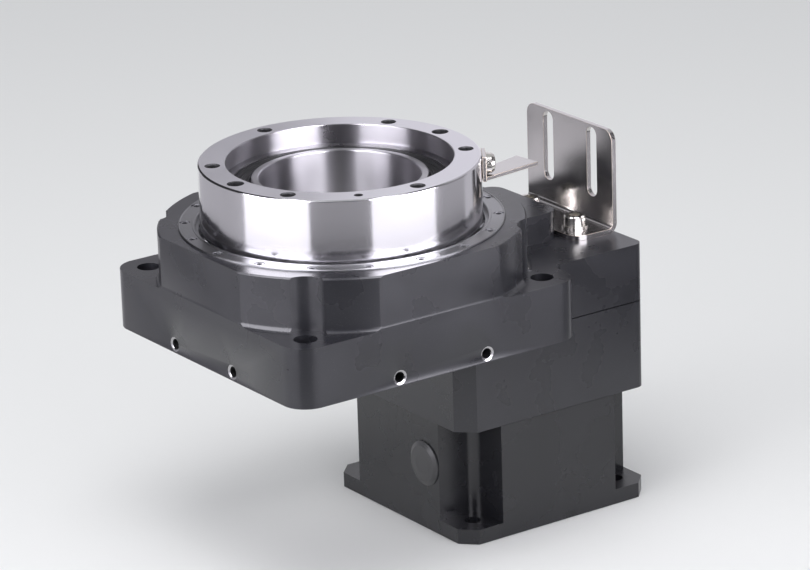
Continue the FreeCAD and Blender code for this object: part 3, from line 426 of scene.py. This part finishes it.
# %% [markdown]
# ## The housing
# On the real platform this is one milled block: a square flange, a round body over it,
# an extension over the pinion and a raised boss on that. It could be traced as one
# outline, but the forms cross each other, so each is raised by itself and they are
# joined. A small bevel breaks the edges. Those narrow faces get a brighter edge finish,
# partly wear, because anodising is thin on an edge and handling brightens it first, and
# partly a painted highlight along the edges.

# %% Sizes that the milled pieces share
FLANGE = 65.0
FLANGE_TOP = 23.4
REACH = 109.5
HALF_WIDTH = 46.5
PINION_X = 67.5
print("flange", 2 * FLANGE, "wide, extension to", REACH)

# %% Flange, round body and boss
BODY_RADIUS = 70.5
FOOT_ROUND = 2.0
housing = as_object(slab([
    (-FLANGE, -FLANGE, 10), (FLANGE, -FLANGE, 10), (FLANGE, -HALF_WIDTH, 4),
    (REACH, -HALF_WIDTH, 4), (REACH, HALF_WIDTH, 4), (FLANGE, HALF_WIDTH, 4),
    (FLANGE, FLANGE, 10), (-FLANGE, FLANGE, 10)], 0, FLANGE_TOP), "housing_milled")
foot = [(BODY_RADIUS + FOOT_ROUND - FOOT_ROUND * math.sin(math.radians(a)),
         FLANGE_TOP + FOOT_ROUND - FOOT_ROUND * math.cos(math.radians(a)))
        for a in (0, 15, 30, 45, 60, 75, 90)]
round_body = as_object(spin_profile(
    [(0, 20), (BODY_RADIUS + FOOT_ROUND, 20)] + foot
    + [(BODY_RADIUS, 44.1), (BODY_RADIUS - 0.6, 44.7), (0, 44.7)], steps=200), "round body")
combine(round_body, slab([
    (-FLANGE, -FLANGE, 0), (FLANGE, -FLANGE, 0), (FLANGE, FLANGE, 0), (-FLANGE, FLANGE, 0)],
    10, 50), "INTERSECT")
round_form = bmesh.new()
round_form.from_mesh(round_body.data)
combine(housing, round_form, "UNION")
bpy.data.objects.remove(round_body)
combine(housing, slab([
    (39.5, -21.3, 0), (88, -21.3, 6), (88, 21.3, 6), (39.5, 21.3, 0)], 20, 35.0), "UNION")
print("housing raised", len(housing.data.polygons))

# %% Rooms for sleeve, gear, bearing and pinion
drill(housing, spin_profile([
    (0, -1), (45.75, -1), (45.75, 3.3), (36.9, 3.3), (36.9, 6), (58.3, 6), (58.3, 33.4),
    (62.55, 33.4), (62.55, 46), (0, 46)], steps=200))
drill(housing, spin_profile([
    (0, -1), (18.05, -1), (18.05, 5), (16, 5), (16, 32.4), (0, 32.4)], 72, (PINION_X, 0)))
drill(housing, slab([
    (21.05, -46.75, 0), (112, -46.75, 0), (112, 46.75, 0), (21.05, 46.75, 0)], -1, 0.3))
print("housing hollowed", len(housing.data.polygons))

# %% Screw holes at the ears, with room for the screw heads
EAR_SPACING = 108.4
drill(housing, scattered(lambda: spin_profile([
    (0, -1), (4.5, -1), (4.5, FLANGE_TOP), (9, FLANGE_TOP), (9, 46), (0, 46)], steps=64),
    at_places(square_of(EAR_SPACING), 0)))
print("ear holes", len(housing.data.polygons))

# %% Small tapped holes in three sides
SIDE_HOLE_OFFSET = 20.0
SIDE_HOLE_LEVEL = 3.4
side_ways = []
for offset in (-SIDE_HOLE_OFFSET, SIDE_HOLE_OFFSET):
    for angle, x, y in ((0, offset, -FLANGE), (180, offset, FLANGE), (-90, -FLANGE, offset)):
        upright = Matrix.Rotation(math.radians(90), 4, "X")
        turned = Matrix.Rotation(math.radians(angle), 4, "Z") @ upright
        side_ways.append(Matrix.Translation((x * MM, y * MM, SIDE_HOLE_LEVEL * MM)) @ turned)
drill(housing, scattered(lambda: spin_profile([
    (0, -12), (2.1, -12), (2.1, -0.46), (2.9, 0), (2.9, 1), (0, 1)], steps=28), side_ways))
print("side holes", len(side_ways))

# %% Finish the housing, with bright cut mouths and painted shade inside the holes
# The broken edges take the edge finish, partly wear and partly a painted highlight
break_edges(housing, 0.35, edge_wear_and_light_slot=1)
dress(housing, "base", ["main_housing"],
      [black_anodised, edge_wear_and_highlight, cut_mouth, painted_hole_shade])
for place in side_ways:
    outward = (place.to_3x3() @ Vector((0, 0, 1))).normalized()
    centre = place.translation / MM
    paint_inside(housing, centre, outward, 2.95, 0.05, 0.44, 2)
    # Painted shade on the faces deep inside the side holes
    paint_inside(housing, centre, outward, 2.3, 0.44, 13, 3)

# %% [markdown]
# ## The gearbox block
# The block hangs under the extension and holds the lower bearings of the pinion. The
# real joint shows as a dark line, so the block ends a little below the housing and only
# a land inside its outline goes on. A dark stripe of colour would not follow the edge.

# %% Block
BLOCK_LEFT = 21.3
BLOCK_BOTTOM = -35.7
BLOCK_CHAMFER = 6.5


def block_outline(inset):
    left, right, half = BLOCK_LEFT + inset, REACH - inset, HALF_WIDTH - inset
    cut = BLOCK_CHAMFER - inset / 2
    return [(left, cut - half, 0), (left + cut, -half, 0), (right, -half, 4 - inset),
            (right, half, 4 - inset), (left + cut, half, 0), (left, half - cut, 0)]


block = as_object(slab(block_outline(0), BLOCK_BOTTOM, -0.15), "block_milled")
combine(block, slab(block_outline(1.0), -1, 0.3), "UNION")
combine(block, spin_profile([(0, -1), (18, -1), (18, 5), (0, 5)], 72, (PINION_X, 0)), "UNION")
print("block raised", len(block.data.polygons))

# %% Bearing room and screw holes of the block
drill(block, spin_profile([
    (0, -40), (16, -40), (16, -29.7), (16.9, -29.7), (16.9, -28.5), (16, -28.5), (16, -19.5),
    (13.6, -19.5), (13.6, -8.5), (16, -8.5), (16, 6), (0, 6)], 72, (PINION_X, 0)))
drill(block, scattered(lambda: spin_profile([
    (0, -40), (4.5, -40), (4.5, -30), (2.75, -30), (2.75, 2), (0, 2)], steps=32),
    at_places([(100, -36), (100, 36), (52, -41), (52, 41)], 0)))
# The broken edges take the edge finish, partly wear and partly a painted highlight
break_edges(block, 0.30, edge_wear_and_light_slot=1)
dress(block, "base", ["gearbox_block"], [black_anodised, edge_wear_and_highlight])

# %% [markdown]
# ## The motor adapter
# The adapter is a square whose corners are notched, so that a screw driver reaches the
# motor's screws. Body and motor flange are two outlines round the pinion's axis.

# %% Adapter
ADAPTER = 45.0
NOTCH = 27.5
NOTCH_ROUND = 4.5
ADAPTER_BOTTOM = -82.5
left, right = PINION_X - ADAPTER, PINION_X + ADAPTER
near, far = PINION_X - NOTCH, PINION_X + NOTCH
adapter = as_object(slab([
    (near, -ADAPTER, 0), (far, -ADAPTER, 0), (far, -NOTCH, NOTCH_ROUND), (right, -NOTCH, 0),
    (right, NOTCH, 0), (far, NOTCH, NOTCH_ROUND), (far, ADAPTER, 0), (near, ADAPTER, 0),
    (near, NOTCH, NOTCH_ROUND), (left, NOTCH, 0), (left, -NOTCH, 0),
    (near, -NOTCH, NOTCH_ROUND)], -78, -36.5), "adapter_milled")
combine(adapter, slab([
    (left + 6, -ADAPTER, 0), (right - 6, -ADAPTER, 0), (right, 6 - ADAPTER, 0),
    (right, ADAPTER - 6, 0), (right - 6, ADAPTER, 0), (left + 6, ADAPTER, 0),
    (left, ADAPTER - 6, 0), (left, 6 - ADAPTER, 0)], ADAPTER_BOTTOM, -76.5), "UNION")
combine(adapter, spin_profile([(0, -40), (36, -40), (36, -35.7), (0, -35.7)], 96,
                              (PINION_X, 0)), "UNION")
print("adapter raised", len(adapter.data.polygons))

# %% Motor seat, screw holes and the way of the plug
MOTOR_HOLE_SPACING = 69.6
ADAPTER_SCREW_SPACING = 46.4
drill(adapter, spin_profile([
    (0, -84), (36.5, -84), (36.5, -79.5), (28, -79.5), (28, -34), (0, -34)], 120,
    (PINION_X, 0)))
drill(adapter, scattered(lambda: spin_profile([
    (0, -84), (3.3, -84), (3.3, -75), (0, -75)], steps=32),
    at_places(square_of(MOTOR_HOLE_SPACING, PINION_X), 0)))
drill(adapter, scattered(lambda: spin_profile([
    (0, -84), (3.75, -84), (3.75, -59.5), (2.25, -59.5), (2.25, -34), (0, -34)], steps=28),
    at_places(square_of(ADAPTER_SCREW_SPACING, PINION_X), 0)))
plug_place = Matrix.Translation((left * MM, -18.2 * MM, -55.2 * MM))
plug_way = plug_place @ Matrix.Rotation(math.radians(90), 4, "Y")
drill(adapter, scattered(lambda: spin_profile([
    (0, -2), (8, -2), (8, 45), (0, 45)], steps=48), [plug_way]))
# The broken edges take the edge finish, partly wear and partly a painted highlight
break_edges(adapter, 0.30, edge_wear_and_light_slot=1)
dress(adapter, "base", ["motor_adapter"], [adapter_anodised, edge_wear_and_highlight])

# %% [markdown]
# ## Bracket and flag
# Both are bent sheet whose solids already have the right bends and slots. A copy with
# merged faces only lacks broken edges. Their warm colour is a painted reflection along
# the cut sheet's edges.

# %% Copy a node, clean it and break its edges
def sheet_copy(name, source, width):
    bm = bmesh.new()
    bm.from_mesh(frame["nodes"][source].data)
    bmesh.ops.remove_doubles(bm, verts=bm.verts, dist=2e-6)
    bmesh.ops.dissolve_limit(bm, angle_limit=math.radians(0.5), verts=bm.verts, edges=bm.edges)
    piece = as_object(bm, name)
    # Broken edges take the warm edge finish, a painted reflection
    break_edges(piece, width, edge_wear_and_light_slot=1)
    dress(piece, NODE_BODY[source], [source], [stainless, sheet_painted_reflection])


sheet_copy("bracket_sheet", "sensor_bracket", 0.25)
sheet_copy("flag_sheet", "sensor_flag", 0.20)

# %% [markdown]
# ## The turning table
# The table is turned all over, then drilled. Its wall is finely ringed and bright, and its
# top is ground flat and looks softer. The profile is spun in many steps because the eye
# reads any corner in the long reflections of a bright cylinder.

# %% Table
TABLE_TOP = 69.4
TABLE_RADIUS = 54.0
RECESS_RADIUS = 43.5
table = as_object(spin_profile([
    (34.8, 30.5), (46.0, 30.5), (46.0, 43.4), (52.5, 43.4), (52.5, 43.8), (53.7, 43.8),
    (TABLE_RADIUS, 44.1), (TABLE_RADIUS, 68.8), (53.92, 68.98), (53.48, 69.34),
    (53.36, TABLE_TOP), (43.85, TABLE_TOP), (43.75, 69.36), (43.52, 69.12),
    (RECESS_RADIUS, 69.0), (RECESS_RADIUS, 63.0), (44.7, 63.0), (44.7, 61.4), (41.5, 61.4),
    (41.5, 54.5), (34.8, 54.5)], steps=256), "table_turned")
print("table turned", len(table.data.polygons))

# %% Where its holes are, in degrees
HOLE_CIRCLE = 48.5
threads = [32.4 + 60.0 * i for i in range(6)]
dowels = [2.4, 182.4]
index_hole = [243.9]
print("holes in the face", len(threads + dowels + index_hole))


# %% Drill the threads, the dowel holes and the index hole
def hole_cutter(radius, mouth, lead, depth, steps=32):
    return spin_profile([(0, -depth), (radius, -depth), (radius, -lead), (mouth, 0), (mouth, 1),
                         (0, 1)], steps=steps)


drill(table, scattered(lambda: hole_cutter(2.5, 3.0, 0.5, 14.0),
                       ring_moves(HOLE_CIRCLE, threads, TABLE_TOP)))
drill(table, scattered(lambda: hole_cutter(3.0, 3.3, 0.3, 12.0),
                       ring_moves(HOLE_CIRCLE, dowels, TABLE_TOP)))
drill(table, scattered(lambda: hole_cutter(1.65, 1.75, 0.1, 8.0, 20),
                       ring_moves(HOLE_CIRCLE, index_hole, TABLE_TOP)))
break_edges(table, 0.0, angle=6.0)
dress(table, "table", ["output_table"],
      [turned_steel, ground_face, painted_hole_shade, recess_shaded_steel])

# %% Ground top, softer recess with painted shade, and painted shade in the holes
for polygon in table.data.polygons:
    high = polygon.center.z > 69.3 * MM
    out = math.hypot(polygon.center.x, polygon.center.y)
    if polygon.normal.z > 0.99 and high:
        polygon.material_index = 1
    # Faces in the recess take the darker steel, painted shade
    elif out < 45 * MM and polygon.center.z > 54 * MM:
        polygon.material_index = 3
# Painted shade inside the table's holes and on their mouths
for angles, reach in ((threads, 3.1), (dowels + index_hole, 3.4)):
    for move in ring_moves(HOLE_CIRCLE, angles, TABLE_TOP):
        paint_inside(table, move.translation / MM, (0, 0, 1), reach, 0.02, 15, 2)
print("dark faces", sum(polygon.material_index == 2 for polygon in table.data.polygons))

# %% [markdown]
# ## Inside the table
# A fixed sleeve lines the hollow shaft, and a black lip seal runs on it. The seal shows as
# a dark floor with fine rings, so its profile has several small steps.

# %% Sleeve
SLEEVE_SCREW_CIRCLE = 41.5
sleeve = as_object(spin_profile([
    (31.0, 0.3), (45.5, 0.3), (45.5, 3.3), (33.9, 3.3), (33.9, 62.2), (33.76, 62.52),
    (33.55, 62.66), (33.3, 62.7), (31.6, 62.7), (31.3, 62.62), (31.08, 62.42), (31.0, 62.15)],
    steps=200), "sleeve_turned")
drill(sleeve, scattered(lambda: spin_profile([
    (0, -1), (3.1, -1), (3.1, 0.3), (1.75, 1.95), (1.75, 5), (0, 5)], steps=28),
    ring_moves(SLEEVE_SCREW_CIRCLE, [30.0 + 60.0 * i for i in range(6)], 0.0)))
break_edges(sleeve, 0.0, angle=6.0)
# The sleeve takes the darker steel, painted shade inside the bore
dress(sleeve, "base", ["inner_sleeve"], [recess_shaded_steel])

# %% Seal
seal = as_object(spin_profile([
    (33.95, 56.5), (37.7, 54.5), (41.5, 54.5), (41.5, 60.9), (41.0, 60.9), (40.8, 60.6),
    (40.5, 60.9), (39.9, 60.9), (39.3, 59.95), (38.8, 59.9), (38.4, 60.2), (38.0, 59.9),
    (37.1, 59.9), (36.5, 60.7), (35.9, 60.7), (35.6, 60.4), (35.3, 60.7), (34.85, 60.7),
    (33.95, 59.5)], steps=160), "seal_moulded")
break_edges(seal, 0.0, angle=28.0)
dress(seal, "table", ["sleeve_seal"], [seal_rubber])

# %% [markdown]
# ## The bearing ring round the table
# The upper half of the split ring shows between table and housing. A raised rim runs
# along its outside, a dark groove parts it from the housing, and small socket screws
# sit sunk in its face. One place stays empty, because the pinion's bearing is below it.

# %% Bearing ring
BEARING_SCREW_CIRCLE = 59.9
EMPTY_PLACE = 5.0
screw_places = [-35.0 + 20.0 * i for i in range(18)]
ring = as_object(spin_profile([
    (58.243, 39.4), (62.5, 39.4), (62.5, 45.1), (62.2, 45.4), (61.9, 45.4), (61.75, 45.2),
    (57.2, 45.2), (57.05, 45.4), (56.3, 45.4), (56.0, 45.1), (56.0, 43.2), (54.75, 43.2),
    (54.75, 42.893)], steps=220), "bearing_ring_upper_turned")
drill(ring, scattered(lambda: spin_profile([
    (0, -8), (1.3, -8), (1.3, -2.4), (2.05, -2.4), (2.05, 1), (0, 1)], steps=24),
    ring_moves(BEARING_SCREW_CIRCLE,
               [a for a in screw_places if abs(a - EMPTY_PLACE) > 1.0], 45.4)))
break_edges(ring, 0.0, angle=6.0)
dress(ring, "base", ["bearing_outer_ring_upper"], [bearing_steel])

# %% [markdown]
# ## The rest of the solids
# Pieces inside the housing, and small screws whose shape is already right, keep the
# frame's mesh. Each still gets its own finish, since some show from above or below.

# %% Finish the carried-over nodes
dressed = {"main_housing", "gearbox_block", "motor_adapter", "sensor_bracket", "sensor_flag",
           "output_table", "inner_sleeve", "sleeve_seal", "bearing_outer_ring_upper"}
for name, solid in frame["nodes"].items():
    if name in dressed:
        continue
    finish = bearing_steel if name == "bearing_screws" else SLOT_FINISH[NODE_SLOT[name]]
    solid.data.materials.clear()
    solid.data.materials.append(finish)
print("carried over", len(frame["nodes"]) - len(dressed))

# %% [markdown]
# ## Studio
# A pale floor, a soft even sky and three large soft lamps. Bright cylinders only look
# like metal when they have something with edges to mirror, so tall cards stand round
# the object, where only reflections can see them.

# %% Floor
floor_bm = bmesh.new()
bmesh.ops.create_grid(floor_bm, x_segments=1, y_segments=1, size=5.0)
bmesh.ops.translate(floor_bm, vec=(0, 0, solid_box[0][2] - 0.0002), verts=floor_bm.verts)
floor = as_object(floor_bm, "floor")
floor_paint = bpy.data.materials.new("floor_paint")
floor_paint.use_nodes = True
floor_shader = floor_paint.node_tree.nodes["Principled BSDF"]
floor_shader.inputs["Base Color"].default_value = (0.80, 0.80, 0.80, 1.0)
floor_shader.inputs["Roughness"].default_value = 0.9
floor.data.materials.append(floor_paint)
print("floor at", round(solid_box[0][2] - 0.0002, 4))

# %% A card that only reflections see
VIEW_ANGLE = math.radians(-34.64 - 90.0)
CARD_RADIUS = 0.30


def card(name, first, last, low, high, brightness):
    bm = bmesh.new()
    start = VIEW_ANGLE + math.radians(first)
    x, y = CARD_RADIUS * math.cos(start), CARD_RADIUS * math.sin(start)
    ends = [bm.verts.new((x, y, low)), bm.verts.new((x, y, high))]
    line = bm.edges.new(ends)
    steps = max(2, int(abs(last - first) / 4))
    bmesh.ops.spin(bm, geom=ends + [line], cent=(0, 0, 0), axis=(0, 0, 1),
                   angle=math.radians(last - first), steps=steps)
    piece = as_object(bm, name)
    paper = bpy.data.materials.new(name)
    paper.use_nodes = True
    tree = paper.node_tree
    tree.nodes.clear()
    glow = node(tree, "ShaderNodeEmission")
    tint = (brightness, brightness * 0.985, brightness * 1.06, 1.0)
    glow.inputs["Color"].default_value = tint
    out = node(tree, "ShaderNodeOutputMaterial")
    tree.links.new(glow.outputs[0], out.inputs["Surface"])
    piece.data.materials.append(paper)
    piece.visible_camera = False
    piece.visible_diffuse = False
    piece.visible_shadow = False
    piece.visible_transmission = False


# %% The cards, from the middle outwards
# Each row holds name, first and last angle from the camera's side (degrees, positive to
# the right), lower and upper height (metres) and brightness. The low rows show in the
# housing and the table's wall, the high ones in the recess and the sleeve.
card_low = solid_box[0][2]
CARDS = [
    ("card_middle_low", -22.8, 22.8, card_low, -0.032, 0.01),
    ("card_middle", -22.8, 22.8, -0.032, 0.02, 0.42),
    ("card_middle_high", -22.8, 22.8, 0.02, 0.90, 0.01),
    ("card_left_low", -77.0, -22.8, card_low, -0.038, 0.80),
    ("card_left", -77.0, -22.8, -0.038, 0.02, 1.50),
    ("card_left_high", -77.0, -22.8, 0.02, 0.90, 7.50),
    ("card_right_low", 22.8, 76.0, card_low, -0.038, 0.75),
    ("card_right", 22.8, 76.0, -0.038, 0.02, 1.40),
    ("card_right_high", 22.8, 76.0, 0.02, 0.90, 10.0),
    ("card_far_left_low", -150.0, -77.0, card_low, -0.045, 0.80),
    ("card_far_left_edge", -150.0, -77.0, -0.045, -0.038, 0.08),
    ("card_far_left", -150.0, -77.0, -0.038, 0.06, 0.52),
    ("card_far_left_high", -150.0, -77.0, 0.06, 0.60, 0.04),
    ("card_far_right_low", 76.0, 112.0, card_low, -0.036, 0.02),
    ("card_far_right", 76.0, 112.0, -0.036, 0.06, 0.46),
    ("card_far_right_high", 76.0, 112.0, 0.06, 0.60, 0.04),
    ("card_back_right", 112.0, 150.0, card_low, 0.30, 0.60),
    ("card_back", 150.0, 182.0, 0.02, 0.45, 0.88),
    ("card_back_left", 182.0, 210.0, 0.02, 0.45, 0.45),
]
for row in CARDS:
    card(*row)
print("cards", len(CARDS))

# %% Sky
world = bpy.data.worlds.new("studio")
bpy.context.scene.world = world
world.use_nodes = True
sky = world.node_tree.nodes["Background"]
sky.inputs["Color"].default_value = (0.95, 0.97, 1.0, 1.0)
sky.inputs["Strength"].default_value = 0.55
print("sky strength", round(sky.inputs["Strength"].default_value, 2))

# %% Three soft lamps that point at the object
LAMP_TARGET = Vector((0.03, 0, 0))


def lamp(name, place, size, watts):
    light = bpy.data.lights.new(name, "AREA")
    light.shape = "SQUARE"
    light.size = size
    light.energy = watts
    holder = bpy.data.objects.new(name, light)
    holder.location = place
    holder.rotation_euler = (LAMP_TARGET - Vector(place)).to_track_quat("-Z", "Y").to_euler()
    holder.visible_camera = False
    holder.visible_glossy = False
    bpy.context.scene.collection.objects.link(holder)
    print(name, watts, "watts")


lamp("top_softbox", (-0.25, -0.25, 1.30), 0.9, 9.0)
lamp("left_softbox", (-1.35, -0.15, 0.75), 0.8, 7.0)
lamp("right_softbox", (0.45, -1.45, 0.60), 0.7, 3.0)

# %% [markdown]
# ## Camera
# The camera stands where the photograph was taken, worked out from the edges and circles
# of the object. A long lens keeps the perspective gentle.

# %% Camera
PICTURE_WIDTH = 810.0
FOCAL_PIXELS = 4281.06
SENSOR_WIDTH = 36.0
DISTANCE = 1658.78
TARGET = Vector((28.34, 0.0, 11.79))
turn, rise, roll = math.radians(-34.64), math.radians(18.92), math.radians(-1.83)
back = Vector((math.sin(turn) * math.cos(rise), -math.cos(turn) * math.cos(rise),
               math.sin(rise)))
level = Vector((math.cos(turn), math.sin(turn), 0.0))
upward = back.cross(level)
right = level * math.cos(roll) + upward * math.sin(roll)
up = -level * math.sin(roll) + upward * math.cos(roll)
eye = TARGET * MM + back * DISTANCE * MM
lens = bpy.data.cameras.new("camera")
lens.sensor_fit = "HORIZONTAL"
lens.sensor_width = SENSOR_WIDTH
lens.lens = FOCAL_PIXELS / PICTURE_WIDTH * SENSOR_WIDTH
lens.clip_end = 20.0
camera = bpy.data.objects.new("camera", lens)
camera.matrix_world = Matrix((
    (right.x, up.x, back.x, eye.x), (right.y, up.y, back.y, eye.y),
    (right.z, up.z, back.z, eye.z), (0, 0, 0, 1)))
bpy.context.scene.collection.objects.link(camera)
bpy.context.scene.camera = camera
bpy.context.scene.view_settings.view_transform = "Standard"
print("camera at", [round(v, 4) for v in eye])
